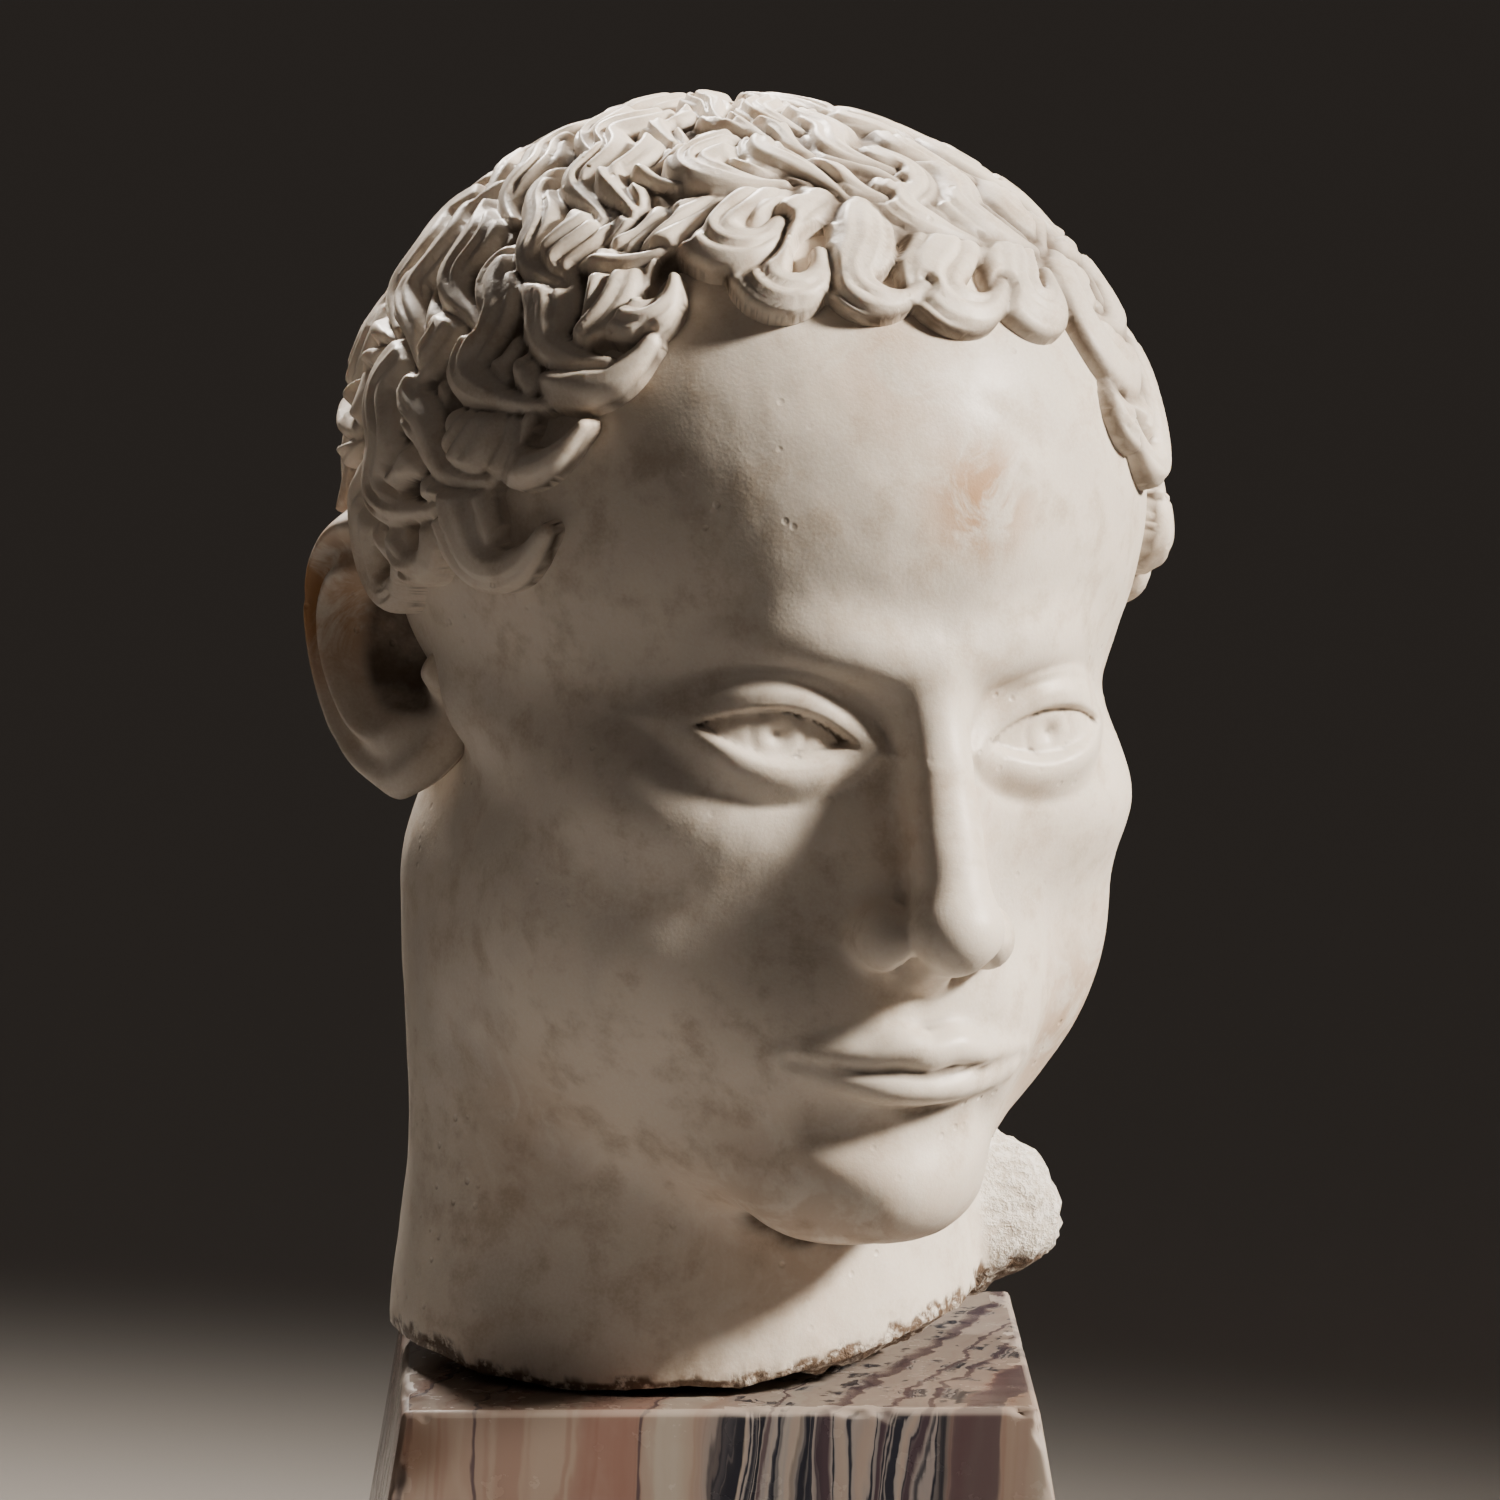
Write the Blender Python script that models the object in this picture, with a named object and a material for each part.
"""A marble head broken off at the neck, standing on a tapered block of veined marble.

The head is worked out in shares of its own height, from the chin to the top of the skull.
Rays go out from inside it and stop where a smooth field of skull, face and neck ends. The
locks of hair then raise that surface, the ears are joined on, and the result is thinned to
a few thousand facets. The block is a plain tapered solid with its edges taken off.
"""

import math

import bmesh
import bpy
import numpy as np

# The head, in metres
HEAD_HEIGHT = 0.270
FACETS = 8000

# The block under it, in metres
PLINTH_HEIGHT = 0.110
PLINTH_TOP_WIDTH = 0.1630
PLINTH_TOP_DEPTH = 0.1630
PLINTH_TAPER = 0.17
PLINTH_CHAMFER = 0.0022
SEAT_GAP = 0.0003

# How the head is held, in degrees: turned to its left, tipped forward, leaning sideways
TURN = 24.0
NOD = 5.0
LEAN = 3.0

# From here on every length is a share of HEAD_HEIGHT.
# X goes to the right of someone facing the face, Y goes back, Z goes up from the chin.
PIVOT = np.array([0.035, 0.000, 0.690])
MID_HEAD = np.array([0.0, 0.0, 0.50])
BREADTH = 1.06
NECK_AXIS = np.array([-0.026, 0.030])
NECK_RADII = np.array([0.277, 0.262])
SEAT_RADIUS = 0.170
RAY_CENTRE_HEIGHT = 0.55
LOWEST_RAY = math.radians(-58.0)
PIVOT_RADIUS = 0.19

SKULL_CENTRE = np.array([0.0, 0.020, 0.655])
SKULL_RADII = np.array([0.346, 0.396, 0.342])

EYE_CENTRE = np.array([0.133, 0.497])
EYE_BULGE = 0.030
EYE_HALF_WIDTH = 0.066
LID_EDGE = 0.006

# Grid of the carved surface before it is doubled and thinned
COLUMNS = 150
HEAD_ROWS = 72
NECK_ROWS = 16
BREAK_ROWS = 12
DOUBLINGS = 1
FACE_CROWDING = 0.34


def length(vectors):
    return np.sqrt(np.einsum("...i,...i->...", vectors, vectors))


def unit(vectors):
    return vectors / length(vectors)[..., None]


def ramp(value, start, end):
    """0 before start, 1 after end, and a smooth S between them."""
    share = np.clip((value - start) / (end - start), 0.0, 1.0)
    return share * share * (3.0 - 2.0 * share)


def hump(value, centre, width):
    """A bell that is 1 at centre and fades over width on both sides."""
    return np.exp(-(((value - centre) / width) ** 2))


def ellipsoid(points, centre, radii):
    """Rough distance to an ellipsoid: negative inside, zero on it."""
    scaled = (points - np.asarray(centre)) / np.asarray(radii)
    reach = length(scaled)
    slope = length(scaled / np.asarray(radii))
    return reach * (reach - 1.0) / np.maximum(slope, 1e-9)


def rod(points, start, end, start_radius, end_radius):
    """Distance to a round rod whose radius changes evenly from start to end."""
    start = np.asarray(start, float)
    along = np.asarray(end, float) - start
    share = np.clip(((points - start) @ along) / (along @ along), 0.0, 1.0)
    middle = start + share[..., None] * along
    return length(points - middle) - (start_radius + (end_radius - start_radius) * share)


def bow(points, half_length, path, radius):
    """Distance to a roll that runs across the face: path gives its Y and Z at each X."""
    across = np.clip(points[..., 0], -half_length, half_length)
    share = across / half_length
    back, up = path(share)
    middle = np.stack([across, back, up], axis=-1)
    return length(points - middle) - radius(share)


def join(one, other, blend):
    """Union of two fields, with a fillet about as wide as blend."""
    near = np.maximum(blend - np.abs(one - other), 0.0) / blend
    return np.minimum(one, other) - near * near * blend / 4.0


def carve(body, cutter, blend):
    """The body with the cutter taken out of it, the edge rounded over blend."""
    return -join(-body, cutter, blend)


def ripples(points, scale, seed, octaves=3):
    """Smooth noise between about -1 and 1: plane waves in seeded directions, halving in size."""
    random = np.random.RandomState(seed)
    total = np.zeros(points.shape[:-1])
    strength = 1.0
    for octave in range(octaves):
        for _ in range(5):
            direction = unit(random.normal(size=3)) * (2.0 * math.pi / scale)
            total += strength * np.sin(points @ direction + random.uniform(0.0, 2.0 * math.pi))
        scale *= 0.5
        strength *= 0.55
    return total / 4.0


def turn_matrix():
    """Columns are the head's own right, back and up, seen in the block's frame."""
    turn, nod, lean = (math.radians(angle) for angle in (TURN, NOD, LEAN))
    about_up = np.array(
        [[math.cos(turn), -math.sin(turn), 0], [math.sin(turn), math.cos(turn), 0], [0, 0, 1]]
    )
    about_right = np.array(
        [[1, 0, 0], [0, math.cos(nod), -math.sin(nod)], [0, math.sin(nod), math.cos(nod)]]
    )
    about_back = np.array(
        [[math.cos(lean), 0, math.sin(lean)], [0, 1, 0], [-math.sin(lean), 0, math.cos(lean)]]
    )
    return about_back @ about_up @ about_right


POSE = turn_matrix()


def to_head(points):
    return (points - PIVOT) @ POSE + MID_HEAD


def from_head(points):
    return (points - MID_HEAD) @ POSE.T + PIVOT


def skull(points, mirrored):
    """Cranium, forehead and the plain mass of the face, cheeks and jaw."""
    field = ellipsoid(points, SKULL_CENTRE, SKULL_RADII)
    field = join(field, ellipsoid(points, (0, -0.055, 0.695), (0.285, 0.345, 0.290)), 0.06)
    field = join(field, ellipsoid(points, (0, -0.125, 0.370), (0.270, 0.272, 0.390)), 0.06)
    field = join(field, ellipsoid(mirrored, (0.178, -0.130, 0.270), (0.108, 0.175, 0.165)), 0.08)
    field = join(field, ellipsoid(mirrored, (0.170, -0.240, 0.415), (0.092, 0.105, 0.062)), 0.07)
    field = join(field, rod(mirrored, (0.19, -0.23, 0.43), (0.262, -0.03, 0.46), 0.045, 0.040), 0.06)
    field = join(field, rod(mirrored, (0.205, -0.02, 0.190), (0.055, -0.33, 0.070), 0.062, 0.060), 0.08)
    field = join(field, ellipsoid(points, (0, -0.360, 0.080), (0.090, 0.088, 0.074)), 0.050)
    field = join(field, ellipsoid(points, (0, -0.335, 0.220), (0.150, 0.112, 0.120)), 0.07)
    return field


def brow_and_socket(field, mirrored):
    """The eye hollow, and the ridge of the brow that overhangs it."""
    ridge = bow(
        mirrored,
        0.245,
        lambda s: (-0.384 + 0.01 * s + 0.215 * s**3, 0.568 + 0.048 * s - 0.052 * s**2.5),
        lambda s: 0.024 - 0.023 * s**4,
    )
    field = join(field, ridge, 0.05)
    socket = ellipsoid(mirrored, (0.132, -0.415, 0.500), (0.098, 0.072, 0.052))
    return carve(field, socket, 0.035)


def eye_front(points):
    """The same points with eyeballs and lids raised out of the sockets, straight towards the front."""
    across = np.abs(points[..., 0]) / BREADTH - EYE_CENTRE[0]
    height = points[..., 2] - EYE_CENTRE[1]
    ball = EYE_BULGE * np.clip(1.0 - (across / 0.092) ** 2 - (height / 0.066) ** 2, 0.0, 1.0)
    height = height - 0.06 * across
    arch = np.clip(1.0 - (across / EYE_HALF_WIDTH) ** 2, -1.5, 1.0)
    over = height - 0.028 * arch
    opening = np.maximum(over, -height - 0.020 * arch)
    lid = ramp(opening, -LID_EDGE, LID_EDGE) * (1.0 - ramp(opening, 0.010, 0.042))
    crease = hump(over, 0.026, 0.008) * (1.0 - ramp(np.abs(across), 0.040, 0.075))
    front = (np.abs(height) < 0.12) & (points[..., 1] < -0.15)
    raised = points[..., 1] - front * (ball + 0.012 * lid - 0.004 * crease)
    return np.stack([points[..., 0], raised, points[..., 2]], axis=-1)


def nose(field, points, mirrored):
    """Straight bridge, rounded tip, wings and nostrils."""
    field = join(field, rod(points, (0, -0.345, 0.545), (0, -0.405, 0.335), 0.038, 0.055), 0.045)
    field = join(field, rod(points, (0, -0.382, 0.560), (0, -0.484, 0.350), 0.027, 0.035), 0.024)
    field = join(field, ellipsoid(points, (0, -0.490, 0.338), (0.040, 0.040, 0.034)), 0.024)
    field = join(field, ellipsoid(mirrored, (0.050, -0.440, 0.322), (0.025, 0.042, 0.032)), 0.014)
    field = join(field, rod(points, (0, -0.496, 0.318), (0, -0.440, 0.290), 0.017, 0.020), 0.014)
    nostril = ellipsoid(mirrored, (0.029, -0.464, 0.288), (0.013, 0.024, 0.018))
    return carve(field, nostril, 0.008)


def mouth(field, points):
    """Closed lips, the line between them, the groove under the nose and the dip over the chin."""
    groove = rod(points, (0, -0.478, 0.278), (0, -0.476, 0.232), 0.010, 0.013)
    field = carve(field, groove, 0.020)
    upper = bow(
        points,
        0.116,
        lambda s: (-0.453 + 0.052 * s**2, 0.2115 + 0.007 * hump(np.abs(s), 0.24, 0.2) - 0.012 * s**2),
        lambda s: 0.0180 * np.sqrt(1.0 - 0.90 * s**2),
    )
    lower = bow(
        points,
        0.098,
        lambda s: (-0.446 + 0.040 * s**2, 0.1770 + 0.011 * s**2),
        lambda s: 0.0235 * np.sqrt(1.0 - 0.85 * s**2),
    )
    field = join(field, join(upper, lower, 0.007), 0.016)
    parting = bow(
        points,
        0.118,
        lambda s: (-0.466 + 0.058 * s**2, 0.1965 - 0.004 * hump(s, 0.0, 0.22) - 0.001 * s**2),
        lambda s: 0.0048 - 0.0012 * s**2,
    )
    field = carve(field, parting, 0.009)
    dip = bow(
        points,
        0.085,
        lambda s: (-0.464 + 0.045 * s**2, 0.130 + 0.010 * s**2),
        lambda s: 0.021 * np.sqrt(1.0 - 0.96 * s**2),
    )
    return carve(field, dip, 0.040)


def head_field(points):
    """Everything above the neck, in the head's own frame."""
    points = points.reshape(-1, 3) / np.array([BREADTH, 1.0, 1.0])
    mirrored = np.abs(points[:, :1])
    mirrored = np.concatenate([mirrored, points[:, 1:]], axis=1)
    field = skull(points, mirrored)
    face = (points[:, 1] < -0.12) & (points[:, 2] < 0.72) & (points[:, 2] > -0.05)
    front = brow_and_socket(field[face], mirrored[face])
    front = nose(front, points[face], mirrored[face])
    field[face] = mouth(front, points[face])
    return field


def shoulder_field(points):
    """What is left of the shoulder on the head's left, broken away."""
    return rod(points, (0.100, 0.100, 0.212), (0.268, 0.080, 0.118), 0.078, 0.074)


def neck_field(points):
    """A thick upright column that widens a little to its foot."""
    across = (points[..., 0] - NECK_AXIS[0]) / NECK_RADII[0]
    back = (points[..., 1] - NECK_AXIS[1]) / NECK_RADII[1]
    height = points[..., 2]
    girth = 1.0 + 0.05 * hump(height, 0.0, 0.14) - 0.03 * hump(height, 0.22, 0.12)
    girth = girth - 0.06 * ramp(back, 0.2, 1.0) * hump(height, 0.33, 0.16)
    girth = girth - 0.30 * ramp(height, 0.46, 0.74)
    column = (np.sqrt(across**2 + back**2) - girth) * NECK_RADII.min()
    column = np.maximum(column, height - 0.74)
    return join(column, shoulder_field(points), 0.03)


def figure_field(points):
    head = head_field(to_head(points)).reshape(points.shape[:-1])
    return join(head, neck_field(points), 0.045)


def break_height(bearing):
    """Height of the broken edge over the block: low in front, higher at its left, and uneven."""
    slope = 0.040 + 0.021 * np.cos(bearing) + 0.021 * np.sin(bearing) + 0.011 * np.cos(2.0 * bearing)
    chips = np.sin(7.0 * bearing + 1.0) + 0.7 * np.sin(12.0 * bearing + 2.6) + 0.5 * np.sin(19.0 * bearing)
    return slope + 0.0020 * chips


def bearings(columns):
    """Angles round the head from its own right, crowded together over the face."""
    even = 2.0 * math.pi * np.arange(columns) / columns
    face = math.radians(TURN) - math.pi / 2.0
    return even + face - FACE_CROWDING * np.sin(even)


def rays(columns, head_rows, neck_rows):
    """Origins and directions, row by row from the crown to the broken edge."""
    bearing = bearings(columns)
    outward = np.stack([np.cos(bearing), np.sin(bearing), np.zeros(columns)], axis=-1)
    centre = from_head(np.array([0.0, 0.0, RAY_CENTRE_HEIGHT]))
    origins = []
    directions = []
    share = np.arange(1, head_rows + 1) / head_rows
    drop = math.pi / 2.0 - (math.pi / 2.0 - LOWEST_RAY) * share
    for angle in drop:
        origins.append(np.broadcast_to(centre, outward.shape))
        directions.append(outward * math.cos(angle) + np.array([0, 0, math.sin(angle)]))
    start = centre[2] + PIVOT_RADIUS * math.tan(LOWEST_RAY)
    low = break_height(bearing)
    for row in range(1, neck_rows + 1):
        step = row / neck_rows
        angle = LOWEST_RAY * (1.0 - ramp(step, 0.0, 0.9))
        height = start + (low - start) * step - PIVOT_RADIUS * math.tan(angle)
        shift = ramp(step, 0.0, 1.0)
        origin = np.empty_like(outward)
        origin[:, :2] = centre[:2] + (NECK_AXIS - centre[:2]) * shift
        origin[:, 2] = height
        origins.append(origin)
        directions.append(outward * math.cos(angle) + np.array([0, 0, math.sin(angle)]))
    return np.array(origins), np.array(directions)


def relax(surface, field, rounds):
    """Evens out the grid: each point goes halfway to its neighbours' mean, then back to the field's zero."""
    step = 0.0015
    for _ in range(rounds):
        mean = (np.roll(surface, 1, axis=1) + np.roll(surface, -1, axis=1)) / 2.0
        inner = (surface[:-2] + surface[2:] + mean[1:-1] * 2.0) / 4.0
        surface = np.concatenate([surface[:1], surface[1:-1] * 0.4 + inner * 0.6, surface[-1:]])
        for _ in range(2):
            here = field(surface)
            slope = np.stack(
                [(field(surface + step * axis) - here) / step for axis in np.eye(3)], axis=-1
            )
            steepness = np.maximum(np.einsum("...i,...i->...", slope, slope), 0.2)
            move = np.clip(here / steepness, -0.02, 0.02)
            surface = surface - slope * move[..., None]
    return surface


def double(surface):
    """The same grid with a point added halfway between every two neighbours."""
    rows, columns, _ = surface.shape
    wide = np.empty((rows, 2 * columns, 3))
    wide[:, ::2] = surface
    wide[:, 1::2] = (surface + np.roll(surface, -1, axis=1)) / 2.0
    tall = np.empty((2 * rows - 1, 2 * columns, 3))
    tall[::2] = wide
    tall[1::2] = (wide[1:] + wide[:-1]) / 2.0
    return tall


def march(origins, directions, field, start=0.95, steps=46):
    """Walks each ray inwards from outside until the field there is zero."""
    reach = np.full(origins.shape[:-1], start)
    for _ in range(steps):
        reach = reach - 0.75 * field(origins + directions * reach[..., None])
        reach = np.clip(reach, 0.02, start)
    return origins + directions * reach[..., None]


# The hair. Angles are in radians on a unit ball round the skull.
WHORL = unit(np.array([0.03, 0.42, 0.91]))
HAIR_FRONT = unit(np.array([0.0, -1.0, 0.0]) + WHORL * WHORL[1])
HAIR_SIDE = np.cross(WHORL, HAIR_FRONT)
HAIRLINE_BEARINGS = np.radians(
    [-180, -150, -122, -97, -82, -66, -50, -34, -20, 0, 17, 30, 44, 56, 70, 82, 97, 122, 150, 180]
)
HAIRLINE_REACH = np.radians(
    [112, 111, 106, 90, 114, 103, 87, 74, 62, 77, 73, 80, 86, 94, 104, 114, 90, 106, 111, 112]
)
LOWEST_OUTWARD = -0.15
BASE_RELIEF = 0.006
LOCK_RELIEF = 0.033
PATH_STEPS = 40
WAVES = 24.0
TEMPLE_BEARING = math.radians(38.0)
LOCK_EDGE = 0.80

# Rings of locks, outermost first: place of the roots, how many, length, half width, sway, hook
RINGS = (
    (0.71, 34, 0.76, 0.104, 0.34, 3.5),
    (0.50, 32, 0.78, 0.088, 0.62, 1.6),
    (0.30, 27, 0.80, 0.082, 0.62, 0.9),
    (0.17, 19, 0.72, 0.078, 0.62, 0.7),
    (0.07, 12, 0.62, 0.076, 0.56, 0.6),
    (0.01, 7, 0.42, 0.074, 0.37, 0.5),
)


def hair_reach(bearing):
    """How far from the whorl the hair ends, at each bearing round it."""
    return np.interp(bearing, HAIRLINE_BEARINGS, HAIRLINE_REACH)


def on_ball(reach, bearing):
    flat = HAIR_FRONT * np.cos(bearing)[..., None] + HAIR_SIDE * np.sin(bearing)[..., None]
    return WHORL * np.cos(reach)[..., None] + flat * np.sin(reach)[..., None]


def lock_table():
    """One row for each lock in the order they are laid: bearing, root, length, width, sway, hook."""
    random = np.random.RandomState(11)
    rows = []
    for ring, (root, count, span, width, sway, hook) in enumerate(RINGS):
        jitter = random.uniform(-1.0, 1.0, size=(count, 6))
        bearing = math.pi - 2.0 * math.pi * (np.arange(count) + 0.5 * (ring % 2) + 0.22 * jitter[:, 0]) / count
        side = np.where(bearing < TEMPLE_BEARING, 1.0, -1.0)
        order = np.argsort(np.where(side > 0, -bearing, bearing - 10.0))
        table = np.stack(
            [
                bearing,
                root + 0.05 * jitter[:, 1],
                span * (1.0 + 0.17 * jitter[:, 2]) * np.clip(hair_reach(bearing) / 1.62, 0.55, 1.10),
                width * (1.0 + 0.20 * jitter[:, 3]),
                sway * (1.0 + 0.20 * jitter[:, 4]),
                side * hook * (1.0 + 0.28 * jitter[:, 5]),
            ],
            axis=-1,
        )
        rows.append(table[order])
    return np.concatenate(rows)


def lock_paths(table):
    """Walks all locks at once over the ball.

    The heading sways with the distance from the whorl, so that neighbours wave together, and
    hooks over towards the tip.
    """
    bearing, root, span, _, sway, hook = table.T
    place = on_ball(root * hair_reach(bearing), bearing)
    phase = 1.6 * np.sin(2.0 * bearing + 0.5)
    lead = 0.17 * ramp(np.abs(bearing - TEMPLE_BEARING), 0.10, 0.55)
    places = []
    headings = []
    for share in np.arange(PATH_STEPS + 1) / PATH_STEPS:
        rise = place @ WHORL
        away = unit(place * rise[:, None] - WHORL)
        aside = np.cross(place, away)
        turn = sway * np.sin(WAVES * np.arccos(rise) + phase) * (1.0 - 0.6 * ramp(share, 0.6, 0.9))
        turn = turn + hook * (ramp(share, 0.44, 1.0) - lead)
        heading = away * np.cos(turn)[:, None] + aside * np.sin(turn)[:, None]
        places.append(place)
        headings.append(heading)
        place = unit(place + heading * (span / PATH_STEPS)[:, None])
    return np.array(places).transpose(1, 0, 2), np.array(headings).transpose(1, 0, 2)


def lock_form(across, along, width):
    """Height over one lock, its footprint, and the valley that it lies in."""
    taper = (0.45 + 0.55 * ramp(along, 0.0, 0.35)) * (1.0 - 0.74 * ramp(along, 0.52, 1.02))
    side = np.clip(across / (width * taper), -2.0, 2.0)
    dome = np.clip(1.0 - side**2, 0.0, 1.0) ** 0.7
    swell = 0.55 + 0.45 * ramp(along, 0.0, 0.40) - 0.35 * ramp(along, 0.70, 1.0)
    inside = 1.0 - ramp(np.abs(side), LOCK_EDGE, 1.03)
    valley = 1.0 - 0.50 * (1.0 - ramp(np.abs(side), 1.0, 1.45))
    return (0.12 + 0.88 * dome) * swell, inside, valley


def hair_relief(points):
    """How far the hair stands out of the skull at each point. Later locks lie over earlier ones."""
    flat = unit((points.reshape(-1, 3) - SKULL_CENTRE) / SKULL_RADII)
    reach = np.arccos(np.clip(flat @ WHORL, -1.0, 1.0))
    bearing = np.arctan2(flat @ HAIR_SIDE, flat @ HAIR_FRONT)
    cover = 1.0 - ramp(reach / hair_reach(bearing), 0.82, 0.90)
    relief = 0.25 * cover
    table = lock_table()
    places, headings = lock_paths(table)
    for (_, _, span, width, _, _), path, heading in zip(table, places, headings):
        middle = unit(path.mean(axis=0))
        far = np.arccos(np.clip((path @ middle).min(), -1.0, 1.0)) + width * 1.5
        near = np.nonzero(flat @ middle > math.cos(far))[0]
        nearest = np.argmax(flat[near] @ path.T, axis=1)
        offset = flat[near] - path[nearest]
        forward = heading[nearest]
        ahead = nearest * span / PATH_STEPS + np.einsum("ij,ij->i", offset, forward)
        across = np.einsum("ij,ij->i", offset, np.cross(path[nearest], forward))
        past = np.maximum(ahead - span, 0.0) + np.maximum(-ahead, 0.0)
        across = np.copysign(np.sqrt(across**2 + past**2), across)
        height, inside, valley = lock_form(across, np.clip(ahead / span, 0.0, 1.0), width)
        relief[near] = relief[near] * valley * (1.0 - inside) + height * inside
        cover[near] = np.maximum(cover[near], inside)
    total = BASE_RELIEF * cover + LOCK_RELIEF * relief
    return total.reshape(points.shape[:-1])


def carved_grid():
    """Rows of points from the crown to the seat, as an array of rows, columns and XYZ."""
    origins, directions = rays(COLUMNS, HEAD_ROWS, NECK_ROWS)
    surface = relax(march(origins, directions, figure_field), figure_field, 10)
    for _ in range(DOUBLINGS):
        surface = relax(double(surface), figure_field, 2)
    local = eye_front(to_head(surface))
    surface = from_head(local)
    outward = unit((local - SKULL_CENTRE) / SKULL_RADII**2)
    outward[..., 2] = np.maximum(outward[..., 2], LOWEST_OUTWARD)
    outward = unit(outward) @ POSE.T
    surface = surface + outward * hair_relief(local)[..., None]
    broken = ramp(-shoulder_field(surface), -0.012, 0.004)
    surface = surface + unit(surface) * (0.006 * broken * ripples(surface, 0.09, 5))[..., None]
    edge = surface[-1]
    bearing = np.arctan2(edge[:, 1] - NECK_AXIS[1], edge[:, 0] - NECK_AXIS[0])
    rim = np.stack([np.cos(bearing), np.sin(bearing)], axis=-1) * SEAT_RADIUS + NECK_AXIS
    under = []
    for row in range(1, BREAK_ROWS + 1):
        share = row / BREAK_ROWS
        ring = np.empty_like(edge)
        ring[:, :2] = edge[:, :2] + (rim - edge[:, :2]) * share
        ring[:, 2] = edge[:, 2] * (1.0 - share) ** 1.3
        rough = 0.006 * math.sin(math.pi * share) * ripples(ring, 0.12, 8)
        ring[:, 2] = np.maximum(ring[:, 2] + rough, 0.0)
        under.append(ring)
    return np.concatenate([surface, np.array(under)])


def closed_mesh(name, rows):
    """Quads between neighbouring rows, with a fan of triangles at each end."""
    count, columns, _ = rows.shape
    points = [tuple(point) for point in rows.reshape(-1, 3)]
    points.append(tuple(rows[0].mean(axis=0)))
    points.append(tuple(rows[-1].mean(axis=0)))
    faces = []
    for row in range(count - 1):
        for column in range(columns):
            ahead = (column + 1) % columns
            here = row * columns
            below = here + columns
            faces.append((here + column, below + column, below + ahead, here + ahead))
    last = (count - 1) * columns
    for column in range(columns):
        ahead = (column + 1) % columns
        faces.append((len(points) - 2, column, ahead))
        faces.append((len(points) - 1, last + ahead, last + column))
    mesh = bpy.data.meshes.new(name)
    mesh.from_pydata(points, [], faces)
    mesh.update()
    return mesh


EAR_PLACE = np.array([0.340, 0.070, 0.480])
EAR_HEIGHT = 0.285
EAR_WIDTH = 0.152
EAR_FLARE = math.radians(18.0)
EAR_LEAN = math.radians(18.0)


def ear_relief(forward, up, share, angle):
    """Height of the ear's folds over its own plane."""
    lobe = hump(angle, -0.5 * math.pi, 0.55)
    back = ramp(-np.cos(angle), -0.45, 0.35)
    front_low = hump(angle, -0.55, 0.55)
    helix = 0.034 * hump(share, 0.87, 0.13) * (1.0 - 0.85 * front_low) * (1.0 - 0.75 * lobe)
    antihelix = 0.036 * hump(share, 0.58, 0.11) * back * (1.0 - 0.8 * lobe)
    bowl = -0.050 * hump(length(np.stack([forward - 0.016, 0.62 * up + 0.006], axis=-1)), 0.0, 0.034)
    tragus = 0.036 * hump(length(np.stack([forward - 0.050, up + 0.026], axis=-1)), 0.0, 0.024)
    notch = 0.014 * hump(length(np.stack([forward - 0.006, up + 0.070], axis=-1)), 0.0, 0.026)
    return helix + antihelix + bowl + tragus + notch - 0.012 * share**8


def ear_rows(rings, columns):
    """The ear as rings from the middle of its bowl over the rim to the middle of its back."""
    angle = 2.0 * math.pi * (np.arange(columns) + 0.5) / columns - math.pi
    forward = 0.5 * EAR_WIDTH * (1.0 + 0.20 * np.sin(angle)) * np.cos(angle)
    up = 0.5 * EAR_HEIGHT * np.sin(angle)
    sunk = 0.058 * ramp(np.cos(angle), 0.0, 1.0)
    rows = []
    for ring in range(1, rings + 1):
        share = ring / rings
        lift = ear_relief(forward * share, up * share, share, angle) - sunk * share**2
        rows.append(np.stack([forward * share, up * share, lift], axis=-1))
    for ring in range(1, rings):
        share = 1.0 - ring / rings
        hollow = 0.05 + 0.30 * ramp(-np.cos(angle), -0.5, 0.5)
        lift = -0.020 - 0.150 * ramp(1.0 - share, hollow, hollow + 0.45) - sunk * share**2
        rows.append(np.stack([forward * share, up * share, lift], axis=-1))
    return np.array(rows)


def ear_mesh(name, side, rings=8, columns=28):
    """One ear, standing out of the side of the head and leaning back."""
    rows = ear_rows(rings, columns)
    forward = np.array([-math.sin(EAR_FLARE), -math.cos(EAR_FLARE), 0.0])
    outward = np.array([math.cos(EAR_FLARE), -math.sin(EAR_FLARE), 0.0])
    up = np.array([0.0, math.sin(EAR_LEAN), math.cos(EAR_LEAN)])
    up = unit(up - outward * (up @ outward))
    forward = np.cross(outward, up) * np.sign(np.cross(outward, up) @ forward)
    place = EAR_PLACE * np.array([BREADTH, 1.0, 1.0])
    points = place + rows[..., :1] * forward + rows[..., 1:2] * up + rows[..., 2:] * outward
    points = points * np.array([side, 1.0, 1.0])
    if side > 0:
        points = points[:, ::-1]
    return closed_mesh(name, from_head(points))


def marble(name, colour, roughness):
    material = bpy.data.materials.new(name)
    material.use_nodes = True
    shader = material.node_tree.nodes["Principled BSDF"]
    shader.inputs["Base Color"].default_value = (*colour, 1.0)
    shader.inputs["Roughness"].default_value = roughness
    shader.inputs["Metallic"].default_value = 0.0
    return material


def add_object(name, mesh):
    made = bpy.data.objects.new(name, mesh)
    bpy.context.scene.collection.objects.link(made)
    return made


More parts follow.
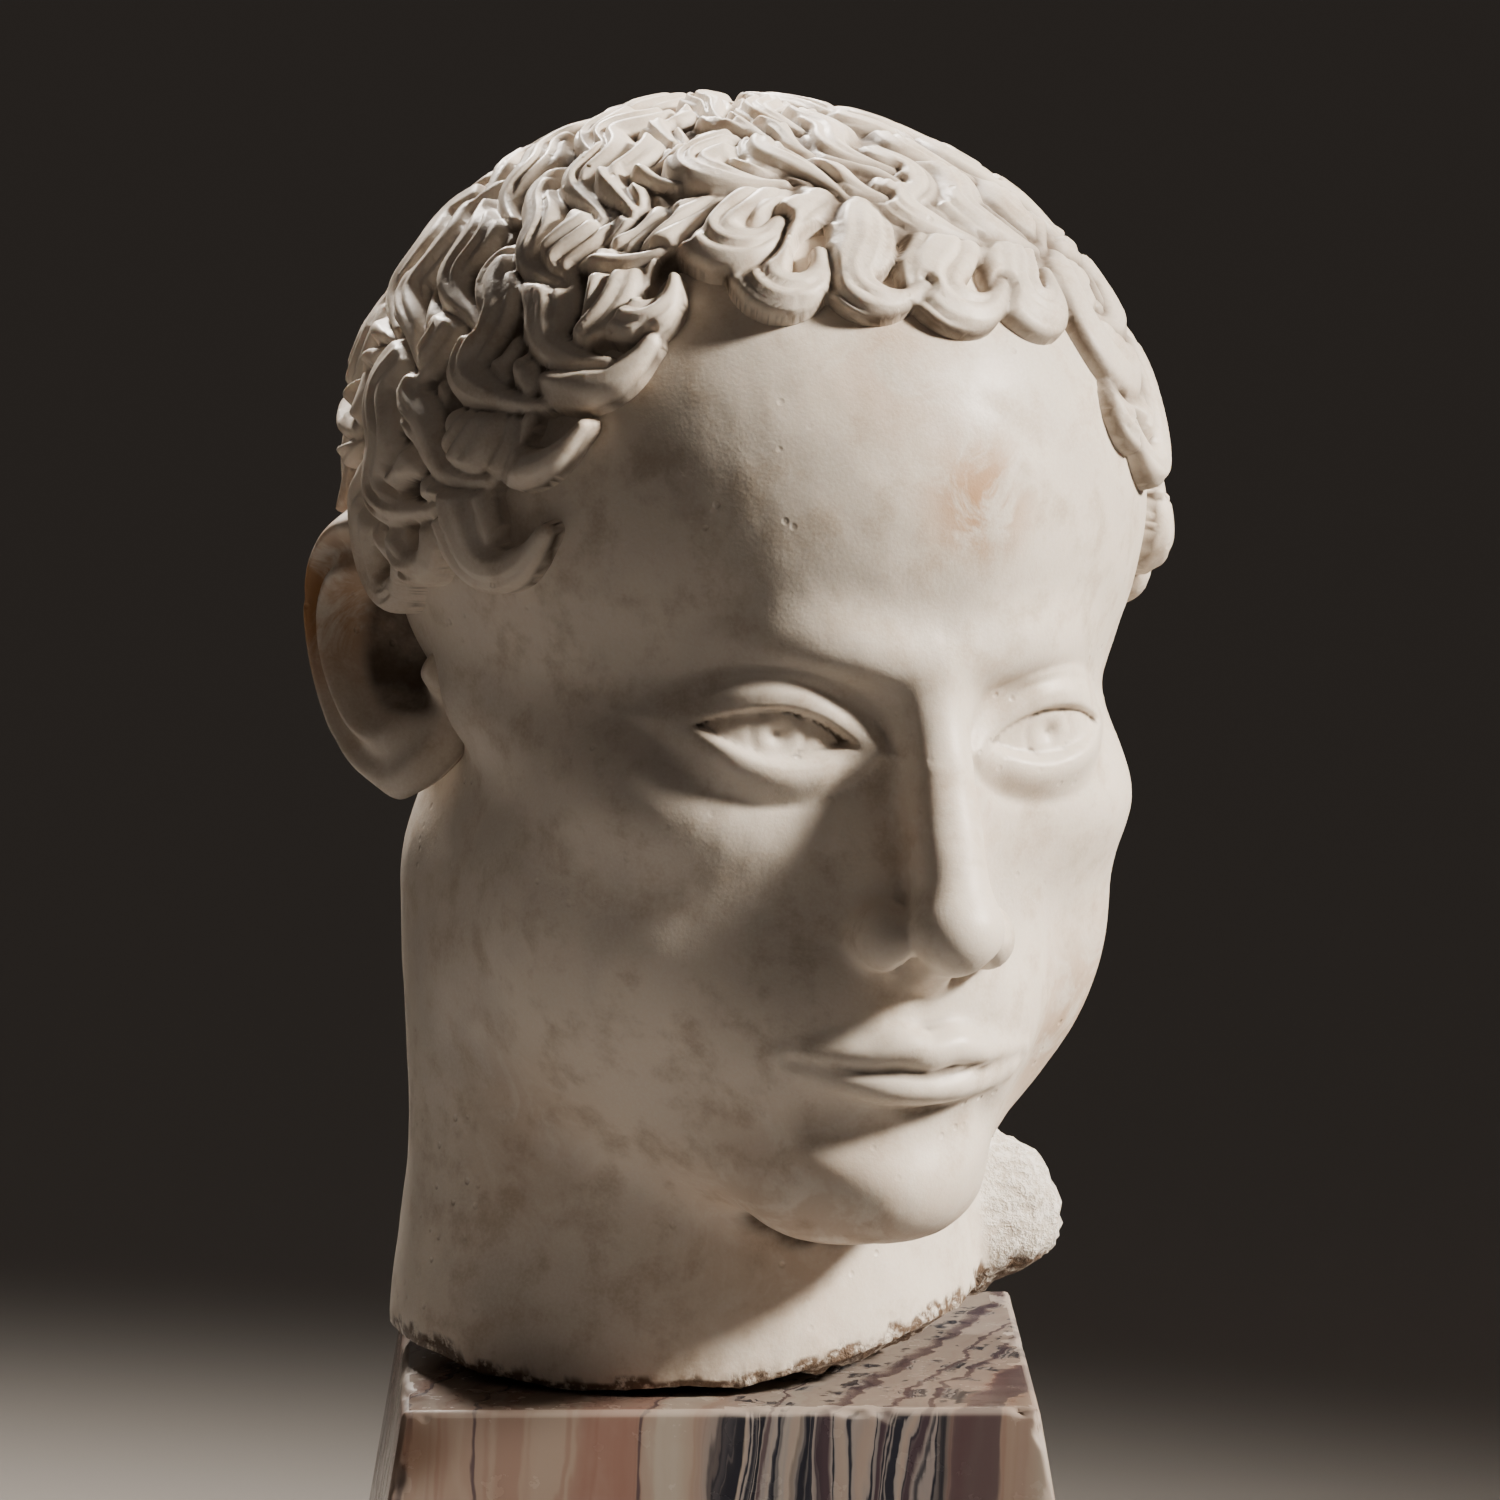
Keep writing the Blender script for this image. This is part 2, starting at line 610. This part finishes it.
def outer_body(mesh):
    """Keeps the largest closed body, so that no pocket stays sealed between an ear and the hair."""
    body = bmesh.new()
    body.from_mesh(mesh)
    unseen = set(body.verts)
    bodies = []
    while unseen:
        found = {unseen.pop()}
        edge = list(found)
        while edge:
            near = {other for vertex in edge for link in vertex.link_edges for other in link.verts}
            edge = list(near & unseen)
            unseen.difference_update(edge)
            found.update(edge)
        bodies.append(found)
    bodies.sort(key=len)
    spare = [vertex for found in bodies[:-1] for vertex in found]
    bmesh.ops.delete(body, geom=spare, context="VERTS")
    body.to_mesh(mesh)
    body.free()


def make_head():
    """The carved grid thinned to the facets it can have, with both ears joined on."""
    whole = add_object("carving", closed_mesh("carving", carved_grid()))
    thin = whole.modifiers.new("Facets", "DECIMATE")
    thin.ratio = FACETS / (2 * len(whole.data.polygons))
    spare = [whole]
    for side, label in ((-1.0, "right"), (1.0, "left")):
        ear = add_object("ear_" + label, ear_mesh("ear_" + label, side))
        union = whole.modifiers.new("Join " + label + " ear", "BOOLEAN")
        union.operation = "UNION"
        union.object = ear
        spare.append(ear)
    graph = bpy.context.evaluated_depsgraph_get()
    mesh = bpy.data.meshes.new_from_object(whole.evaluated_get(graph))
    mesh.name = "head"
    outer_body(mesh)
    for used in spare:
        bpy.data.objects.remove(used)
    mesh.materials.clear()
    mesh.materials.append(marble("statuary_marble", (0.72, 0.66, 0.58), 0.55))
    head = add_object("head", mesh)
    head.scale = (HEAD_HEIGHT, HEAD_HEIGHT, HEAD_HEIGHT)
    head.location = (0.0, 0.0, PLINTH_HEIGHT + SEAT_GAP)
    return head


def make_plinth():
    """A four-sided block that narrows upwards, with narrow chamfers on its edges."""
    top_x = PLINTH_TOP_WIDTH / 2.0
    top_y = PLINTH_TOP_DEPTH / 2.0
    spread = PLINTH_HEIGHT * PLINTH_TAPER
    points = []
    for height, grow in ((0.0, spread), (PLINTH_HEIGHT, 0.0)):
        for x, y in ((-1, -1), (1, -1), (1, 1), (-1, 1)):
            points.append((x * (top_x + grow), y * (top_y + grow), height))
    faces = [(3, 2, 1, 0), (4, 5, 6, 7)]
    for corner in range(4):
        ahead = (corner + 1) % 4
        faces.append((corner, ahead, ahead + 4, corner + 4))
    mesh = bpy.data.meshes.new("plinth")
    mesh.from_pydata(points, [], faces)
    mesh.update()
    plinth = add_object("plinth", mesh)
    mesh.materials.append(marble("veined_marble", (0.62, 0.48, 0.42), 0.22))
    bevel = plinth.modifiers.new("Chamfer", "BEVEL")
    bevel.width = PLINTH_CHAMFER
    bevel.segments = 1
    bevel.limit_method = "NONE"
    return plinth


def main():
    for old in list(bpy.data.objects):
        bpy.data.objects.remove(old)
    make_plinth()
    make_head()


main()
